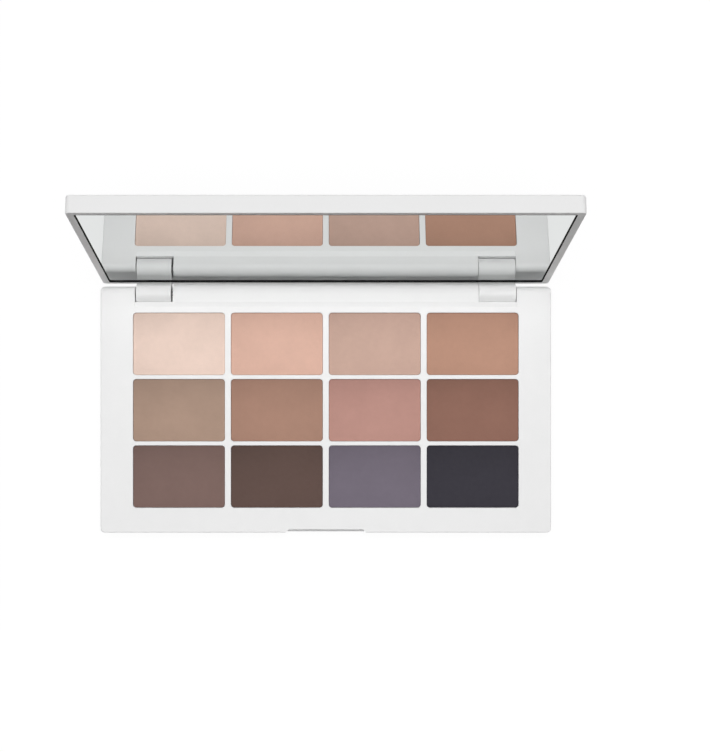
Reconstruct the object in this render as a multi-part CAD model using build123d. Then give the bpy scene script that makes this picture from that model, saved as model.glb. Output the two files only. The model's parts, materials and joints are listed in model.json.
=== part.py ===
from build123d import *
from math import acos, atan2, cos, hypot, radians, sin
import os

# Eyeshadow palette: a flat base with twelve pans of pressed powder, and a mirror lid on a rear hinge.
# Millimetres. The origin is the centre of the underside, +X to the right, +Y to the hinge, +Z up.
# The lid is described closed and then turned about the hinge to its rest pose, open against its stop.

# Case
WIDTH = 150.0
DEPTH = 82.0
BASE_HEIGHT = 9.5
LID_THICKNESS = 5.6
PARTING_GAP = 0.15
CORNER_RADIUS = 1.4
DECK_EDGE_RADIUS = 0.3
LID_EDGE_RADIUS = 0.7
BOTTOM_EDGE_RADIUS = 0.7
RIM_EDGE_RADIUS = 0.3

# Wells, pans and powders
COLUMNS = 4
ROWS = 3
COLUMN_PITCH = 32.6
ROW_PITCH = 22.1
WELLS_Y = -0.25
WELL_SIZE = (30.6, 20.75)
WELL_RADIUS = 1.1
WELL_EDGE = 0.08
PAN_GAP = 0.2
PAN_WALL = 0.25
PAN_HEIGHT = 3.6
PAN_BELOW_DECK = 0.9
POWDER_GAP = 0.03
POWDER_PROUD = 0.4
POWDER_EDGE_RADIUS = 0.12
GLUE_THICKNESS = 0.15
GLUE_INSET = 5.0

# Base moulding
DECK_THICKNESS = 1.2
BASE_WALL = 2.1
WELL_WALL = 1.2
WELL_FLOOR = 1.0
RIB_THICKNESS = 1.0
COVER_THICKNESS = 1.5
COVER_LEDGE = 1.0
FIT_GAP = 0.1

# Thumb notch in the middle of the front edge, deepest at the deck
NOTCH_FLAT = 24.6
NOTCH_RUN_OUT = 1.2
NOTCH_DEPTH = 1.1
NOTCH_FOOT = 5.0

# Hinge: a long barrel on the base, a lug of the lid on each side of it, and a pin through each lug
HINGE_SETBACK = 2.3
HINGE_DROP = 3.9
BARREL_RADIUS = 3.3
BARREL_HALF = 51.0
LUG_FREE_GAPS = (0.7, 0.3)
LUG_CLOSE_GAP = 0.15
CORNER_BLOCK_IN = 63.6
HINGE_ROOT = 4.7
SLOPE_TOP = 4.5
SLOPE_FOOT = 2.85
BLOCK_EDGE_RADIUS = 2.2
LUG_CLEARANCE = 0.13
STOP_GAP = 0.06
PIN_RADIUS = 0.8
PIN_CLEARANCE = 0.05
PIN_HALF = (44.0, 74.7)
OPEN_DEGREES = 101.0

# Lid and mirror
RIM_SIDE = 2.3
RIM_FREE = 2.0
RIM_HINGE = 2.0
MIRROR_RECESS = 0.36
SEAL_WIDTH = 0.25
MIRROR_THICKNESS = 1.6
TAPE_THICKNESS = 0.3
TAPE_INSET = 2.0
LID_SKIN = 1.5
LID_RIB = 1.2
LID_POCKETS = (6, 3)

# Closing magnets
MAGNET_SIZE = (10.0, 4.0)
BASE_MAGNET_THICKNESS = 2.0
LID_MAGNET_THICKNESS = 1.5
MAGNET_X = 45.0
MAGNET_Y = -36.35
MAGNET_BOSS = 1.0

# Places worked out from the dimensions above
HALF_WIDTH = WIDTH / 2
HALF_DEPTH = DEPTH / 2
HINGE_Y = HALF_DEPTH - HINGE_SETBACK
HINGE_Z = BASE_HEIGHT - HINGE_DROP
RIM_Z = BASE_HEIGHT + PARTING_GAP
LID_TOP = RIM_Z + LID_THICKNESS
PAN_TOP = BASE_HEIGHT - PAN_BELOW_DECK
PAN_BOTTOM = PAN_TOP - PAN_HEIGHT
WELL_BOTTOM = PAN_BOTTOM - GLUE_THICKNESS
REAR_WALL_Y = HINGE_Y - HINGE_ROOT
HINGE_AXIS = Axis((0, HINGE_Y, HINGE_Z), (1, 0, 0))


def span_box(x, y, z):
    """Box between the low and high value on each axis."""
    size = [high - low for low, high in (x, y, z)]
    centre = [(high + low) / 2 for low, high in (x, y, z)]
    return Pos(*centre) * Box(*size)


def rounded_block(x, y, z, radius):
    """Box with rounded upright edges."""
    block = span_box(x, y, z)
    return fillet(block.edges().filter_by(Axis.Z), radius)


def centred_block(x, y, size, z, radius):
    """Rounded block of a plan size about a centre."""
    half_x, half_y = size[0] / 2, size[1] / 2
    return rounded_block((x - half_x, x + half_x), (y - half_y, y + half_y), z, radius)


def hinge_profile(*shapes):
    """Join sketch shapes drawn as (behind the hinge axis, above the hinge axis)."""
    profile = shapes[0]
    for shape in shapes[1:]:
        profile = profile + shape
    return profile


def hinge_rectangle(y, z):
    """Rectangle in the hinge section, from offsets to the hinge axis."""
    centre = Pos((y[0] + y[1]) / 2, (z[0] + z[1]) / 2)
    return centre * Rectangle(y[1] - y[0], z[1] - z[0])


def along_hinge(profile, x):
    """Extrude a hinge section along X, from low x to high x."""
    section_plane = Plane(origin=(x[0], HINGE_Y, HINGE_Z), x_dir=(0, 1, 0), z_dir=(1, 0, 0))
    return extrude(section_plane * profile, amount=x[1] - x[0])


def hinge_cylinder(radius, x):
    """Cylinder about the hinge axis."""
    return along_hinge(Circle(radius), x)


def both_sides(x):
    """The span on the right and its mirror image on the left."""
    return [(x[0], x[1]), (-x[1], -x[0])]


def well_centres():
    """Name suffix and centre of each well, from the rear left."""
    for row in range(ROWS):
        for column in range(COLUMNS):
            x = (column - (COLUMNS - 1) / 2) * COLUMN_PITCH
            y = WELLS_Y + ((ROWS - 1) / 2 - row) * ROW_PITCH
            yield f"r{row + 1}c{column + 1}", x, y


def case_block(z, top_radius, bottom_radius):
    """Outline of the case between two levels, with rounded edges."""
    block = rounded_block((-HALF_WIDTH, HALF_WIDTH), (-HALF_DEPTH, HALF_DEPTH), z, CORNER_RADIUS)
    block = fillet(block.faces().sort_by(Axis.Z)[-1].edges(), top_radius)
    return fillet(block.faces().sort_by(Axis.Z)[0].edges(), bottom_radius)


# Base

def well_block():
    """Solid block that holds all the wells, under the deck."""
    half_x = (COLUMNS - 1) / 2 * COLUMN_PITCH + WELL_SIZE[0] / 2 + WELL_WALL
    half_y = (ROWS - 1) / 2 * ROW_PITCH + WELL_SIZE[1] / 2 + WELL_WALL
    bottom = WELL_BOTTOM - WELL_FLOOR
    return span_box((-half_x, half_x), (WELLS_Y - half_y, WELLS_Y + half_y), (bottom, BASE_HEIGHT))


def support_ribs(cavity):
    """Ribs under the bars between the wells, down to the cover."""
    z = (COVER_THICKNESS, WELL_BOTTOM)
    half = RIB_THICKNESS / 2
    ribs = Part()
    for column in range(1, COLUMNS):
        x = (column - COLUMNS / 2) * COLUMN_PITCH
        ribs += span_box((x - half, x + half), cavity[1], z)
    for row in range(1, ROWS):
        y = WELLS_Y + (row - ROWS / 2) * ROW_PITCH
        ribs += span_box(cavity[0], (y - half, y + half), z)
    return ribs


def magnet_boss(sign, z):
    """Block that surrounds one magnet."""
    half_x, half_y = (length / 2 + MAGNET_BOSS for length in MAGNET_SIZE)
    x = sign * MAGNET_X
    return span_box((x - half_x, x + half_x), (MAGNET_Y - half_y, MAGNET_Y + half_y), z)


def magnet_block(sign, z):
    """One closing magnet."""
    half_x, half_y = (length / 2 for length in MAGNET_SIZE)
    x = sign * MAGNET_X
    return span_box((x - half_x, x + half_x), (MAGNET_Y - half_y, MAGNET_Y + half_y), z)


def thumb_notch():
    """Wedge cut from the upper part of the front edge, with tapered ends."""
    front, back = -HALF_DEPTH, -HALF_DEPTH + NOTCH_DEPTH
    half, end = NOTCH_FLAT / 2, NOTCH_FLAT / 2 + NOTCH_RUN_OUT
    plan = [(-end, -DEPTH), (-end, front), (-half, back), (half, back), (end, front), (end, -DEPTH)]
    section = [(-DEPTH, NOTCH_FOOT), (front, NOTCH_FOOT), (back, BASE_HEIGHT), (-DEPTH, BASE_HEIGHT)]
    upright = extrude(make_face(Polyline(*plan, close=True)), amount=BASE_HEIGHT)
    wedge = extrude(Plane.YZ * make_face(Polyline(*section, close=True)), amount=end, both=True)
    return upright & wedge


def corner_block_profile():
    """Rear strip at each end: full height, with a large rounded rear edge that clears the lid."""
    upper_y = HINGE_SETBACK - BLOCK_EDGE_RADIUS
    upper_z = HINGE_DROP - BLOCK_EDGE_RADIUS
    return hinge_profile(
        hinge_rectangle((-HINGE_ROOT, HINGE_SETBACK), (-HINGE_Z, upper_z)),
        hinge_rectangle((-HINGE_ROOT, upper_y), (-HINGE_Z, HINGE_DROP)),
        Pos(upper_y, upper_z) * Circle(BLOCK_EDGE_RADIUS),
    )


def deck_slope():
    """Rear edge of the deck in the hinge section: a small slope down to the level of the barrel."""
    outline = [
        (-HINGE_ROOT, -HINGE_Z),
        (-HINGE_ROOT, HINGE_DROP),
        (-SLOPE_TOP, HINGE_DROP),
        (-SLOPE_FOOT, BARREL_RADIUS),
        (-SLOPE_FOOT, -HINGE_Z),
    ]
    return make_face(Polyline(*outline, close=True))


def barrel_profile():
    """Rear strip in the middle: the hinge barrel, joined to the deck by a ledge and a small slope."""
    return hinge_profile(
        hinge_rectangle((-HINGE_ROOT, HINGE_SETBACK), (-HINGE_Z, 0)),
        hinge_rectangle((-SLOPE_FOOT, 0), (0, BARREL_RADIUS)),
        deck_slope(),
        Circle(BARREL_RADIUS),
    )


def lug_spans():
    """Where the lugs lie along X: free on the left, a close fit that locates the lid on the right."""
    left = (-CORNER_BLOCK_IN + LUG_FREE_GAPS[1], -BARREL_HALF - LUG_FREE_GAPS[0])
    right = (BARREL_HALF + LUG_CLOSE_GAP, CORNER_BLOCK_IN - LUG_CLOSE_GAP)
    return [left, right]


def stop_lip_top():
    """Height, from the hinge axis, of the lip that an open lug rests on."""
    turn = radians(OPEN_DEGREES)
    lug_depth = (HINGE_SETBACK - HINGE_SETBACK * cos(turn)) / sin(turn)
    return -lug_depth - STOP_GAP


def lug_bay_profile():
    """Rear strip at each lug: a round cradle whose rear lip stops the open lid."""
    cradle = hinge_rectangle((-HINGE_ROOT, HINGE_SETBACK), (-HINGE_Z, stop_lip_top()))
    return hinge_profile(cradle, deck_slope()) - Circle(BARREL_RADIUS + LUG_CLEARANCE)


def base_cavity():
    """Hollow under the deck, inside the side walls."""
    x = (-HALF_WIDTH + BASE_WALL, HALF_WIDTH - BASE_WALL)
    y = (-HALF_DEPTH + BASE_WALL, REAR_WALL_Y - BASE_WALL)
    return x, y


def cover_outline(gap):
    """Plan of the bottom cover, or of its recess when the gap is zero."""
    x, y = base_cavity()
    grow = COVER_LEDGE - gap
    return (x[0] - grow, x[1] + grow), (y[0] - grow, y[1] + grow)


def base_body():
    """Base moulding: deck, wells, side walls and the fixed half of the hinge."""
    envelope = case_block((0, BASE_HEIGHT), DECK_EDGE_RADIUS, BOTTOM_EDGE_RADIUS)
    front = envelope & span_box((-WIDTH, WIDTH), (-DEPTH, REAR_WALL_Y), (0, BASE_HEIGHT))

    cavity = base_cavity()
    hollow = span_box(*cavity, (0, BASE_HEIGHT - DECK_THICKNESS)) - well_block() - support_ribs(cavity)
    magnet_top = BASE_HEIGHT - DECK_THICKNESS
    magnet_z = (magnet_top - BASE_MAGNET_THICKNESS, magnet_top)
    for sign in (-1, 1):
        hollow -= magnet_boss(sign, magnet_z)
        hollow += magnet_block(sign, magnet_z)
    cover_recess = rounded_block(*cover_outline(0), (-0.01, COVER_THICKNESS), CORNER_RADIUS / 2)
    body = front - hollow - cover_recess - thumb_notch()

    for _, x, y in well_centres():
        well = centred_block(x, y, WELL_SIZE, (WELL_BOTTOM, BASE_HEIGHT), WELL_RADIUS)
        mouth = [length + 2 * WELL_EDGE for length in WELL_SIZE]
        mouth_sketch = Pos(x, y, BASE_HEIGHT) * RectangleRounded(*mouth, WELL_RADIUS + WELL_EDGE)
        body -= well
        body -= extrude(mouth_sketch, amount=-WELL_EDGE, taper=45)

    strips = along_hinge(barrel_profile(), (-BARREL_HALF, BARREL_HALF))
    for x in both_sides((BARREL_HALF, CORNER_BLOCK_IN)):
        strips += along_hinge(lug_bay_profile(), x)
    for x in both_sides((CORNER_BLOCK_IN, HALF_WIDTH)):
        strips += along_hinge(corner_block_profile(), x) & envelope
    body += strips
    for x in both_sides((PIN_HALF[0], WIDTH)):
        body -= hinge_cylinder(PIN_RADIUS, x)
    return body


def bottom_cover():
    """Flat cover let into the underside."""
    return rounded_block(*cover_outline(FIT_GAP), (0, COVER_THICKNESS), CORNER_RADIUS / 2)


def pan(x, y):
    """Thin metal tray."""
    size = [length - 2 * PAN_GAP for length in WELL_SIZE]
    inside = [length - 2 * PAN_WALL for length in size]
    tray = centred_block(x, y, size, (PAN_BOTTOM, PAN_TOP), WELL_RADIUS - PAN_GAP)
    room = centred_block(x, y, inside, (PAN_BOTTOM + PAN_WALL, PAN_TOP), WELL_RADIUS - PAN_GAP - PAN_WALL)
    return tray - room


def powder(x, y):
    """Cake of pressed powder, which fills its pan and covers the pan's edge."""
    inside = [length - 2 * (PAN_GAP + PAN_WALL) for length in WELL_SIZE]
    over = [length - 2 * POWDER_GAP for length in WELL_SIZE]
    inside_radius = WELL_RADIUS - PAN_GAP - PAN_WALL
    filling = centred_block(x, y, inside, (PAN_BOTTOM + PAN_WALL, PAN_TOP), inside_radius)
    cap = centred_block(x, y, over, (PAN_TOP, PAN_TOP + POWDER_PROUD), WELL_RADIUS - POWDER_GAP)
    return filling + fillet(cap.faces().sort_by(Axis.Z)[-1].edges(), POWDER_EDGE_RADIUS)


def pan_glue():
    """One dab of glue under each pan."""
    size = [length - 2 * GLUE_INSET for length in WELL_SIZE]
    z = (WELL_BOTTOM, PAN_BOTTOM)
    dabs = [centred_block(x, y, size, z, GLUE_INSET / 2) for _, x, y in well_centres()]
    return Compound(children=dabs)


def base_magnet(sign):
    """Closing magnet glued up under the deck."""
    top = BASE_HEIGHT - DECK_THICKNESS
    return magnet_block(sign, (top - BASE_MAGNET_THICKNESS, top))


def hinge_pin(sign):
    """Steel pin through a corner block and a lug, into the barrel."""
    x = PIN_HALF if sign > 0 else (-PIN_HALF[1], -PIN_HALF[0])
    return hinge_cylinder(PIN_RADIUS, x)


# Lid, described closed

def mirror_outline(gap):
    """Plan of the mirror, or of its recess when the gap is zero."""
    x = (-HALF_WIDTH + RIM_SIDE + gap, HALF_WIDTH - RIM_SIDE - gap)
    y = (-HALF_DEPTH + RIM_FREE + gap, HALF_DEPTH - RIM_HINGE - gap)
    return x, y


def lid_pockets(bottom, top):
    """Hollows behind the mirror, with ribs between them."""
    x, y = mirror_outline(TAPE_INSET)
    columns, rows = LID_POCKETS
    cell_x = (x[1] - x[0] + LID_RIB) / columns
    cell_y = (y[1] - y[0] + LID_RIB) / rows
    hollow = Part()
    for column in range(columns):
        for row in range(rows):
            low_x = x[0] + column * cell_x
            low_y = y[0] + row * cell_y
            pocket_x = (low_x, low_x + cell_x - LID_RIB)
            pocket_y = (low_y, low_y + cell_y - LID_RIB)
            hollow += span_box(pocket_x, pocket_y, (bottom, top))
    for sign in (-1, 1):
        hollow -= magnet_boss(sign, (bottom, top))
    return hollow


def lug_profile():
    """Lug of the closed lid: a round end, and an arm whose inner face runs straight off the round."""
    inner_y = HINGE_SETBACK - RIM_HINGE
    rim_z = RIM_Z - HINGE_Z
    reach = hypot(inner_y, rim_z)
    lean = acos(BARREL_RADIUS / reach) - atan2(inner_y, rim_z)
    tangent = (-BARREL_RADIUS * sin(lean), BARREL_RADIUS * cos(lean))
    outline = [
        (HINGE_SETBACK, 0),
        (HINGE_SETBACK, rim_z + RIM_EDGE_RADIUS),
        (inner_y, rim_z + RIM_EDGE_RADIUS),
        (inner_y, rim_z),
        tangent,
        (0, 0),
    ]
    return hinge_profile(Circle(BARREL_RADIUS), make_face(Polyline(*outline, close=True)))


def lid_shell():
    """Lid moulding: top, rim, mirror seat and the two hinge lugs."""
    shell = case_block((RIM_Z, LID_TOP), LID_EDGE_RADIUS, RIM_EDGE_RADIUS)
    seat = RIM_Z + MIRROR_RECESS + MIRROR_THICKNESS + TAPE_THICKNESS
    shell -= rounded_block(*mirror_outline(0), (RIM_Z, seat), CORNER_RADIUS / 2)
    shell -= lid_pockets(seat, LID_TOP - LID_SKIN)
    for sign in (-1, 1):
        shell -= magnet_block(sign, (seat, seat + LID_MAGNET_THICKNESS))
    lug = lug_profile()
    for x in lug_spans():
        shell += along_hinge(lug, x)
        shell -= hinge_cylinder(PIN_RADIUS + PIN_CLEARANCE, x)
    return shell


def mirror_glass():
    """Mirror with rounded corners."""
    front = RIM_Z + MIRROR_RECESS
    return rounded_block(*mirror_outline(SEAL_WIDTH), (front, front + MIRROR_THICKNESS), CORNER_RADIUS / 2)


def mirror_seal():
    """Thin dark bead of sealant between the mirror and the rim, level with the rim."""
    z = (RIM_Z, RIM_Z + MIRROR_RECESS + MIRROR_THICKNESS)
    bead = rounded_block(*mirror_outline(0), z, CORNER_RADIUS / 2)
    return bead - rounded_block(*mirror_outline(SEAL_WIDTH), z, CORNER_RADIUS / 2)


def mirror_tape():
    """Double-sided tape behind the mirror."""
    bottom = RIM_Z + MIRROR_RECESS + MIRROR_THICKNESS
    return span_box(*mirror_outline(TAPE_INSET / 2), (bottom, bottom + TAPE_THICKNESS))


def lid_magnet(sign):
    """Closing magnet behind the mirror."""
    seat = RIM_Z + MIRROR_RECESS + MIRROR_THICKNESS + TAPE_THICKNESS
    return magnet_block(sign, (seat, seat + LID_MAGNET_THICKNESS))


def opened(shape):
    """Turn a lid piece from closed to its rest pose."""
    return shape.rotate(HINGE_AXIS, -OPEN_DEGREES)


def write_parts():
    """Build every node and write one STEP file each."""
    nodes = {
        "base_body": base_body(),
        "bottom_cover": bottom_cover(),
        "pan_glue": pan_glue(),
        "lid_shell": opened(lid_shell()),
        "mirror_glass": opened(mirror_glass()),
        "mirror_seal": opened(mirror_seal()),
        "mirror_tape": opened(mirror_tape()),
    }
    for suffix, x, y in well_centres():
        nodes[f"pan_{suffix}"] = pan(x, y)
        nodes[f"powder_{suffix}"] = powder(x, y)
    for side, sign in (("left", -1), ("right", 1)):
        nodes[f"hinge_pin_{side}"] = hinge_pin(sign)
        nodes[f"base_magnet_{side}"] = base_magnet(sign)
        nodes[f"lid_magnet_{side}"] = opened(lid_magnet(sign))

    os.makedirs("parts", exist_ok=True)
    for name, shape in nodes.items():
        export_step(shape, f"parts/{name}.step")


write_parts()
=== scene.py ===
import json
import math
from collections import namedtuple

import bpy
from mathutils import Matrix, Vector, noise


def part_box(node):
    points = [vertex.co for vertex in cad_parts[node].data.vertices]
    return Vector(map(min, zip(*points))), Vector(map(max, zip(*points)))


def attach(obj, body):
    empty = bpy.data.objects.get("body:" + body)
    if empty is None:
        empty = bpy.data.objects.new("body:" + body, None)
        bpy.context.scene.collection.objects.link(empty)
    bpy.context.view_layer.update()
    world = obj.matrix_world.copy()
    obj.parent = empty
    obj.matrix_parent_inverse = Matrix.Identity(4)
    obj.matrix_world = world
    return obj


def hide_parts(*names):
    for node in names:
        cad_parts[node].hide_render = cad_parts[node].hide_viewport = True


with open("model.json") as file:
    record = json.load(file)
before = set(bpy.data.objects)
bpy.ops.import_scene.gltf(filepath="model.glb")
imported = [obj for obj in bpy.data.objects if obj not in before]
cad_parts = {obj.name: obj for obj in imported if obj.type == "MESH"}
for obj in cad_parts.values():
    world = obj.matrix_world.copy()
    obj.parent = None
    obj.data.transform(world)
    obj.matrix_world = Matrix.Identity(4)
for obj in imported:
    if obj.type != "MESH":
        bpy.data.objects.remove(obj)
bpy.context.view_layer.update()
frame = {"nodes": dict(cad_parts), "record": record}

MM = 0.001
SLOT_COLOUR = {entry["slot"]: entry["base_color"][:3] for entry in frame["record"]["materials"]}
NODE_SLOT = {entry["node"]: entry["material_slot"] for entry in frame["record"]["subparts"]}


# ---------------------------------------------------------------- materials

# Mesh attribute that carries each cake's painted shade
TONE_NAME = "painted_shade_tone"
NOISE_LOW, NOISE_HIGH = 0.3, 0.7
FINE_DETAIL = 3.0
PLAIN_DETAIL = 2.0

# tones: layers of (feature in mm, amount); roughness: (feature in mm, lowest, highest);
# relief: layers of (feature in mm, height in mm, strength); inputs: even values of the shader
Finish = namedtuple("Finish", "tones roughness relief inputs")


def metal(low, high):
    """Bare or plated metal with an uneven polish between two values of roughness."""
    return Finish(
        tones=((4.0, 0.02), (0.3, 0.02)),
        roughness=(0.6, low, high),
        relief=((0.6, 0.004, 0.3),),
        inputs={"Metallic": 1.0})


def soft_bond(low, high):
    """Tape or glue with a roughness between two values."""
    return Finish(
        tones=((3.0, 0.04), (0.4, 0.05)),
        roughness=(0.8, low, high),
        relief=((0.5, 0.02, 0.4),),
        inputs={})


# Satin moulded plastic with a faint orange-peel surface
WHITE_PLASTIC = Finish(
    tones=((18.0, 0.006), (0.8, 0.004)),
    roughness=(2.5, 0.38, 0.46),
    relief=((1.2, 0.003, 0.35), (0.12, 0.001, 0.3)),
    inputs={"Specular IOR Level": 0.25})

# Spark-eroded matt plastic
COVER_PLASTIC = Finish(
    tones=((12.0, 0.01), (0.3, 0.015)),
    roughness=(0.4, 0.6, 0.72),
    relief=((0.25, 0.02, 0.5),),
    inputs={})

# Pressed powder: matt, finely grained, with soft clouds of tone
POWDER = Finish(
    tones=((9.0, 0.03), (1.6, 0.015), (0.16, 0.05)),
    roughness=(1.5, 0.86, 0.96),
    relief=((1.1, 0.012, 0.4), (0.14, 0.012, 0.5)),
    inputs={"Specular IOR Level": 0.25, "Sheen Weight": 0.08, "Sheen Roughness": 0.5})

# Silvered glass: clean, with barely uneven polish
MIRROR = Finish(
    tones=((25.0, 0.004),),
    roughness=(14.0, 0.0, 0.012),
    relief=(),
    inputs={"Metallic": 1.0, "Specular Tint": (0.92, 0.93, 0.93, 1.0)})

# Dull black sealing bead round the mirror; its black is also painted shade for the dark crevice along the
# mirror's edge
SEALANT_AND_SHADE = Finish(
    tones=((2.0, 0.1), (0.3, 0.1)),
    roughness=(0.6, 0.8, 0.95),
    relief=((0.4, 0.01, 0.4),),
    inputs={"Specular IOR Level": 0.08})

FINISHES = {
    "white_plastic": WHITE_PLASTIC,
    "cover_plastic": COVER_PLASTIC,
    "pan_metal": metal(0.28, 0.4),
    "pin_steel": metal(0.55, 0.7),
    "magnet": metal(0.15, 0.25),
    "mirror": MIRROR,
    "sealant": SEALANT_AND_SHADE,
    "tape": soft_bond(0.7, 0.85),
    "glue": soft_bond(0.2, 0.35),
}


def new_material(name):
    """A material with a Principled shader; returns the material, its node tree and the shader."""
    material = bpy.data.materials.new(name)
    material.use_nodes = True
    tree = material.node_tree
    shader = next(n for n in tree.nodes if n.type == "BSDF_PRINCIPLED")
    return material, tree, shader


def noise_value(tree, feature_mm, detail):
    """Noise whose features are about that many millimetres wide, in the piece's own coordinates."""
    coordinates = tree.nodes.new("ShaderNodeTexCoord")
    texture = tree.nodes.new("ShaderNodeTexNoise")
    texture.inputs["Scale"].default_value = 1.0 / (feature_mm * MM)
    texture.inputs["Detail"].default_value = detail
    tree.links.new(coordinates.outputs["Object"], texture.inputs["Vector"])
    return texture.outputs["Fac"]


def map_range(tree, value, start, end, at_start, at_end, smooth=False):
    """A value mapped from one range to another, and kept within it."""
    mapper = tree.nodes.new("ShaderNodeMapRange")
    if smooth:
        mapper.interpolation_type = "SMOOTHSTEP"
    mapper.inputs["From Min"].default_value = start
    mapper.inputs["From Max"].default_value = end
    mapper.inputs["To Min"].default_value = at_start
    mapper.inputs["To Max"].default_value = at_end
    tree.links.new(value, mapper.inputs["Value"])
    return mapper.outputs["Result"]


def multiply(tree, first, second):
    """Product of two linked values."""
    product = tree.nodes.new("ShaderNodeMath")
    product.operation = "MULTIPLY"
    tree.links.new(first, product.inputs[0])
    tree.links.new(second, product.inputs[1])
    return product.outputs[0]


def link_tones(tree, shader, colour, layers, factor):
    """Base colour times slow and fine variations, and times a first factor if there is one."""
    for feature_mm, amount in layers:
        value = noise_value(tree, feature_mm, FINE_DETAIL)
        layer = map_range(tree, value, NOISE_LOW, NOISE_HIGH, 1.0 - amount, 1.0 + amount)
        factor = layer if factor is None else multiply(tree, factor, layer)
    scale = tree.nodes.new("ShaderNodeVectorMath")
    scale.operation = "SCALE"
    scale.inputs[0].default_value = colour
    tree.links.new(factor, scale.inputs["Scale"])
    tree.links.new(scale.outputs["Vector"], shader.inputs["Base Color"])


def link_roughness(tree, shader, feature_mm, low, high):
    """Roughness that varies between two values."""
    value = noise_value(tree, feature_mm, PLAIN_DETAIL)
    varied = map_range(tree, value, NOISE_LOW, NOISE_HIGH, low, high)
    tree.links.new(varied, shader.inputs["Roughness"])


def link_relief(tree, shader, layers):
    """Fine bumps, layer upon layer."""
    normal = None
    for feature_mm, height_mm, strength in layers:
        bump = tree.nodes.new("ShaderNodeBump")
        bump.inputs["Distance"].default_value = height_mm * MM
        bump.inputs["Strength"].default_value = strength
        tree.links.new(noise_value(tree, feature_mm, FINE_DETAIL), bump.inputs["Height"])
        if normal is not None:
            tree.links.new(normal, bump.inputs["Normal"])
        normal = bump.outputs["Normal"]
    if normal is not None:
        tree.links.new(normal, shader.inputs["Normal"])


def make_material(slot_name):
    """The material of a slot of the record; a powder also takes the painted shade stored on its cake's
    mesh, which darkens its face towards the rear.
    """
    material, tree, shader = new_material(slot_name)
    if slot_name.startswith("powder_"):
        # Painted shade: the tone stored on the cake darkens its face towards the rear and sides
        tone = tree.nodes.new("ShaderNodeAttribute")
        tone.attribute_name = TONE_NAME
        finish, factor = POWDER, tone.outputs["Fac"]
    else:
        finish, factor = FINISHES[slot_name], None
    link_tones(tree, shader, SLOT_COLOUR[slot_name], finish.tones, factor)
    link_roughness(tree, shader, *finish.roughness)
    link_relief(tree, shader, finish.relief)
    for input_name, value in finish.inputs.items():
        shader.inputs[input_name].default_value = value
    return material


MATERIAL = {slot_name: make_material(slot_name) for slot_name in SLOT_COLOUR}


def paint(obj, material):
    """Give every face of a piece one material."""
    if not obj.material_slots:
        obj.data.materials.append(material)
    for holder in obj.material_slots:
        holder.material = material


for node_name, node_object in frame["nodes"].items():
    paint(node_object, MATERIAL[NODE_SLOT[node_name]])


# ---------------------------------------------------------------- powders

CAKE_CORNER = 1.0 * MM
CAKE_EDGE = 0.3 * MM
CAKE_STEP = 0.6 * MM
CAKE_CROWN = 0.08 * MM
CAKE_CAP = 0.4 * MM
PAN_EDGE = 0.42 * MM
EDGE_FRACTIONS = (0.0, 0.05, 0.16, 0.36, 0.64, 1.0)

# Unevenness of the face: layers of (feature in mm, depth in mm)
CLOUDS = ((7.0, 0.020), (2.0, 0.008), (0.9, 0.004))

# Painted shade over the face, standing in for how light falls on it: lightest at TONE_PLACE (across and
# along the cake, -1 to 1), darkest at the rear
TONE_PEAK = 1.045
TONE_PLACE = (0.2, -0.5)
TONE_REAR_FALL = 0.19
TONE_FRONT_FALL = 0.05
TONE_SIDE_FALL = 0.04


def grid_lines(half):
    """Positions across a cake: close together over its rounded edge, even over its face."""
    edge = [CAKE_EDGE * fraction for fraction in EDGE_FRACTIONS] + [CAKE_CORNER]
    inner = half - CAKE_CORNER
    count = math.ceil(2 * inner / CAKE_STEP)
    middle = [-inner + 2 * inner * step / count for step in range(1, count)]
    return [d - half for d in edge] + middle + [half - d for d in reversed(edge)]


def round_corner(x, y, half_x, half_y):
    """Move a point of the rectangle onto the same place of the rounded outline."""
    u = (abs(x) - half_x + CAKE_CORNER) / CAKE_CORNER
    v = (abs(y) - half_y + CAKE_CORNER) / CAKE_CORNER
    if u <= 0 or v <= 0:
        return x, y
    shrink = max(u, v) / math.hypot(u, v)
    new_x = half_x - CAKE_CORNER + CAKE_CORNER * u * shrink
    new_y = half_y - CAKE_CORNER + CAKE_CORNER * v * shrink
    return math.copysign(new_x, x), math.copysign(new_y, y)


def face_depth(x, y, half_x, half_y, centre):
    """How far the cake's face lies under its highest level."""
    rim = min(half_x - abs(x), half_y - abs(y))
    depth = 0.0
    if rim < CAKE_EDGE:
        depth = CAKE_EDGE - math.sqrt(CAKE_EDGE ** 2 - (CAKE_EDGE - rim) ** 2)
    crown = (1 - (x / half_x) ** 2) * (1 - (y / half_y) ** 2)
    depth += CAKE_CROWN * (1 - crown)
    for feature_mm, height_mm in CLOUDS:
        place = Vector((centre.x + x, centre.y + y, 0.0)) / (feature_mm * MM)
        depth += height_mm * MM * (0.5 - 0.5 * noise.noise(place))
    return depth


def painted_shade_tone(u, v):
    """Painted shade of the cake's face, darker towards its rear and sides, from its place across and along
    the cake (-1 to 1).
    """
    side = TONE_SIDE_FALL * (u - TONE_PLACE[0]) ** 2
    behind = v > TONE_PLACE[1]
    fall = TONE_REAR_FALL if behind else TONE_FRONT_FALL
    reach = 1 - TONE_PLACE[1] if behind else 1 + TONE_PLACE[1]
    return TONE_PEAK - side - fall * ((v - TONE_PLACE[1]) / reach) ** 2


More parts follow.
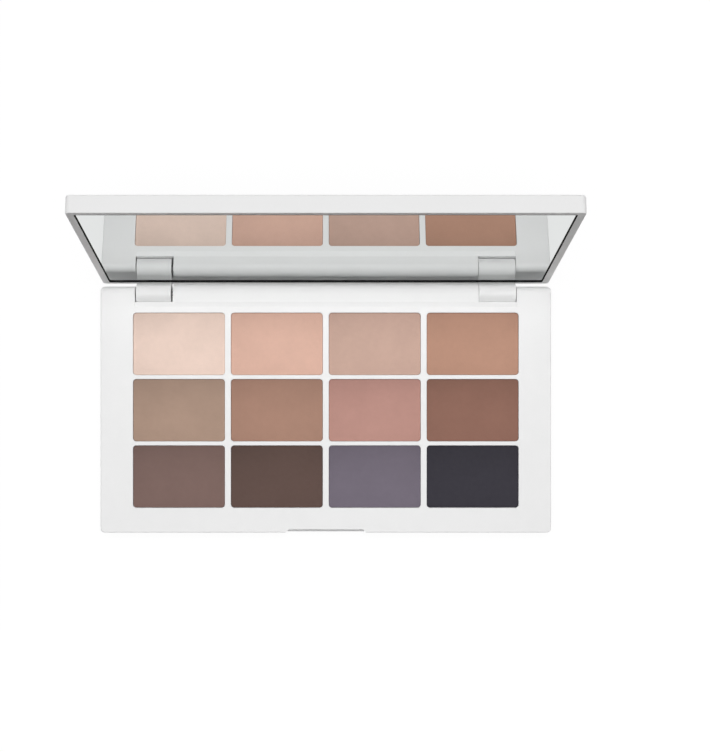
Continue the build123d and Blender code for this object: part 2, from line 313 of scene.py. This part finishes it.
def cake_face(centre, half_x, half_y, top):
    """The cake's face as a grid: its points, their painted shade tones, its quads and its outline's point
    numbers.
    """
    columns, rows = grid_lines(half_x), grid_lines(half_y)
    points, tones = [], []
    for y in rows:
        for x in columns:
            tones.append(painted_shade_tone(x / half_x, y / half_y))
            new_x, new_y = round_corner(x, y, half_x, half_y)
            level = top - face_depth(x, y, half_x, half_y, centre)
            points.append((centre.x + new_x, centre.y + new_y, level))

    width, last = len(columns), len(rows) - 1
    faces = []
    for row in range(last):
        for column in range(width - 1):
            first = row * width + column
            faces.append((first, first + 1, first + width + 1, first + width))

    outline = list(range(width))
    outline += [row * width + width - 1 for row in range(1, last + 1)]
    outline += [last * width + column for column in range(width - 2, -1, -1)]
    outline += [row * width for row in range(last - 1, 0, -1)]
    return points, tones, faces, outline


def cake_mesh(name, low, high):
    """A pressed cake: a crowned face, a short cap under it, and a body that fits inside the pan's wall."""
    centre = (Vector(low) + Vector(high)) / 2
    half_x, half_y = (high[0] - low[0]) / 2, (high[1] - low[1]) / 2
    points, tones, faces, outline = cake_face(centre, half_x, half_y, high[2])

    count = len(outline)
    inset_x, inset_y = 1 - PAN_EDGE / half_x, 1 - PAN_EDGE / half_y
    cap_bottom = high[2] - CAKE_CAP
    steps = ((1, 1, cap_bottom), (inset_x, inset_y, cap_bottom), (inset_x, inset_y, low[2]))
    ring = outline
    for scale_x, scale_y, level in steps:
        foot = len(points)
        for index in outline:
            x = centre.x + (points[index][0] - centre.x) * scale_x
            y = centre.y + (points[index][1] - centre.y) * scale_y
            points.append((x, y, level))
            tones.append(1.0)
        below = [foot + index for index in range(count)]
        for index in range(count):
            following = (index + 1) % count
            faces.append((ring[following], ring[index], below[index], below[following]))
        ring = below
    faces.append(tuple(reversed(ring)))

    mesh = bpy.data.meshes.new(name)
    mesh.from_pydata(points, [], faces)
    mesh.shade_smooth()
    # Painted shade of each point, read by the powder material
    mesh.attributes.new(TONE_NAME, "FLOAT", "POINT").data.foreach_set("value", tones)
    return mesh


def powder_cake(node_name):
    """A pressed cake in place of a plain powder solid."""
    name = node_name + "_cake"
    cake = bpy.data.objects.new(name, cake_mesh(name, *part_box(node_name)))
    bpy.context.scene.collection.objects.link(cake)
    slot_name = NODE_SLOT[node_name]
    paint(cake, MATERIAL[slot_name])
    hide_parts(node_name)
    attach(cake, "base")


for node_name in sorted(frame["nodes"]):
    if node_name.startswith("powder_"):
        powder_cake(node_name)


# ---------------------------------------------------------------- floor and walls

FLOOR_HALF = 9.0
FLOOR_DROP = 0.0001
WALL_RADIUS = 8.0
WALL_HEIGHT = 5.0
WALL_SIDES = 96
ROOM_ALBEDO = 0.08
ROOM_GLOW = 0.935
BOUNCE_FRONT = -0.075
BOUNCE_DROP = 0.00005
BOUNCE_ALBEDO = 0.85


def studio_matt(name, albedo, glow):
    """Matt white that may glow, so that it stays white far from the light."""
    material, _, shader = new_material(name)
    shader.inputs["Base Color"].default_value = (albedo, albedo, albedo, 1.0)
    shader.inputs["Roughness"].default_value = 1.0
    shader.inputs["Specular IOR Level"].default_value = 0.0
    shader.inputs["Emission Color"].default_value = (1.0, 1.0, 1.0, 1.0)
    shader.inputs["Emission Strength"].default_value = glow
    return material


def stage_piece(name, points, faces, material):
    """Part of the studio, which no matt surface sees unless that is changed afterwards."""
    mesh = bpy.data.meshes.new(name)
    mesh.from_pydata(points, [], faces)
    piece = bpy.data.objects.new(name, mesh)
    bpy.context.scene.collection.objects.link(piece)
    paint(piece, material)
    piece.visible_diffuse = False
    return piece


def studio_ground(name, front, drop, material):
    """A level piece of floor, from a front edge to the far edges of the studio."""
    far = FLOOR_HALF
    corners = [(x, y, -drop) for x, y in ((-far, front), (far, front), (far, far), (-far, far))]
    return stage_piece(name, corners, [(0, 1, 2, 3)], material)


def studio_room():
    """White floor inside a round white wall: what the camera and the mirror see."""
    white = studio_matt("studio_white", ROOM_ALBEDO, ROOM_GLOW)
    studio_ground("studio_floor", -FLOOR_HALF, FLOOR_DROP, white)
    points, faces = [], []
    for side in range(WALL_SIDES):
        turn = 2 * math.pi * side / WALL_SIDES
        x, y = WALL_RADIUS * math.cos(turn), WALL_RADIUS * math.sin(turn)
        points += [(x, y, -FLOOR_DROP), (x, y, WALL_HEIGHT)]
        low, next_low = 2 * side, 2 * ((side + 1) % WALL_SIDES)
        faces.append((low, low + 1, next_low + 1, next_low))
    wall = stage_piece("studio_wall", points, faces, white)
    wall.visible_shadow = False


def studio_bounce():
    """Floor that only matt surfaces see: it returns the key light to the object's sides and back."""
    white = studio_matt("studio_bounce", BOUNCE_ALBEDO, 0.0)
    bounce = studio_ground("studio_bounce", BOUNCE_FRONT, BOUNCE_DROP, white)
    bounce.visible_diffuse = True
    bounce.visible_camera = False
    bounce.visible_glossy = False
    bounce.visible_transmission = False
    bounce.visible_shadow = False


# ---------------------------------------------------------------- light

KEY_PLACE = (0.0, 0.15, 3.2)
KEY_SIZE = 2.0
KEY_POWER = 104.6

# The world is black under the horizon, dim above it, and bright in a low band behind the object.
# Its ramps run over the components of the direction.
WORLD_DIM = 0.02
WORLD_BAND = 0.9
BAND_TURN = (-0.05, 0.45)
BAND_TOP = (0.17, 0.34)
HORIZON = (-0.02, 0.02)


def studio_world():
    """Dim surround with a bright band low down behind the object."""
    world = bpy.data.worlds.new("studio")
    world.use_nodes = True
    tree = world.node_tree
    background = next(n for n in tree.nodes if n.type == "BACKGROUND")
    background.inputs["Color"].default_value = (1.0, 1.0, 1.0, 1.0)
    coordinates = tree.nodes.new("ShaderNodeTexCoord")
    direction = tree.nodes.new("ShaderNodeSeparateXYZ")
    tree.links.new(coordinates.outputs["Generated"], direction.inputs["Vector"])
    behind = map_range(tree, direction.outputs["Y"], *BAND_TURN, 0.0, WORLD_BAND, smooth=True)
    height = map_range(tree, direction.outputs["Z"], *BAND_TOP, 1.0, 0.0, smooth=True)
    above = map_range(tree, direction.outputs["Z"], *HORIZON, 0.0, 1.0, smooth=True)
    strength = tree.nodes.new("ShaderNodeMath")
    strength.operation = "ADD"
    tree.links.new(multiply(tree, behind, height), strength.inputs[0])
    strength.inputs[1].default_value = WORLD_DIM
    tree.links.new(multiply(tree, strength.outputs[0], above), background.inputs["Strength"])
    bpy.context.scene.world = world


def studio_key():
    """A broad square light overhead, aimed at the object."""
    light = bpy.data.lights.new("key", "AREA")
    light.shape = "SQUARE"
    light.size = KEY_SIZE
    light.energy = KEY_POWER
    holder = bpy.data.objects.new("key", light)
    holder.location = KEY_PLACE
    holder.rotation_euler = (-Vector(KEY_PLACE)).to_track_quat("-Z", "Y").to_euler()
    bpy.context.scene.collection.objects.link(holder)


# ---------------------------------------------------------------- camera

CAMERA_Y = 11.14 * MM
CAMERA_HEIGHT = 539.6 * MM
CAMERA_CLIP = (0.01, 20.0)
LENS = 76.22
SENSOR_WIDTH = 36.0
SHIFT_X = 0.0395


def studio_camera():
    """Camera that looks straight down on the open palette."""
    data = bpy.data.cameras.new("camera")
    data.lens = LENS
    data.sensor_width = SENSOR_WIDTH
    data.shift_x = SHIFT_X
    data.clip_start, data.clip_end = CAMERA_CLIP
    camera = bpy.data.objects.new("camera", data)
    camera.location = (0.0, CAMERA_Y, CAMERA_HEIGHT)
    bpy.context.scene.collection.objects.link(camera)
    bpy.context.scene.camera = camera


studio_room()
studio_bounce()
studio_world()
studio_key()
bpy.context.scene.view_settings.view_transform = "Standard"
studio_camera()
